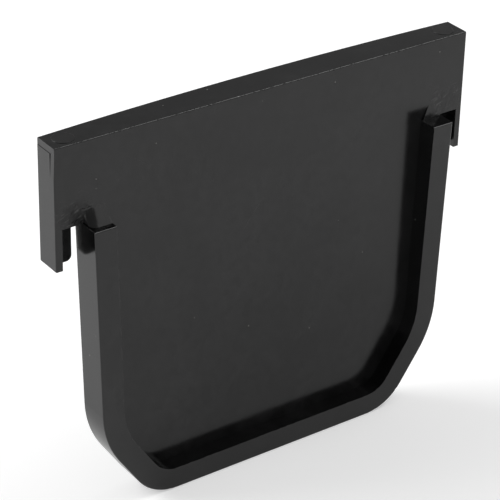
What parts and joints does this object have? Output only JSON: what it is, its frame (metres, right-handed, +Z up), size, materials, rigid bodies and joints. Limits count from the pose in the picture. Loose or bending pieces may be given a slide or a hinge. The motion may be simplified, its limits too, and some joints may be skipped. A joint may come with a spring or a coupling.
{
  "type": "drainage channel end cap",
  "caption": "Black moulded end cap for a shallow surface-drainage channel: flat panel with a raised U-shaped rim, a top band, and side legs that hook over the channel's walls.",
  "frame": {"origin": "mid-width, in the panel's front plane, at the level where the top band ends and the rim begins, which is where the channel's wall tops come", "axes": "+X across the channel, +Y away from the channel (the rim faces -Y), +Z up"},
  "size_m": [0.115, 0.014, 0.0971],
  "materials": {
    "black_plastic": "semi-matte, as moulded"
  },
  "bodies": {
    "root": {"end_cap": "black_plastic"}
  },
  "joints": []
}
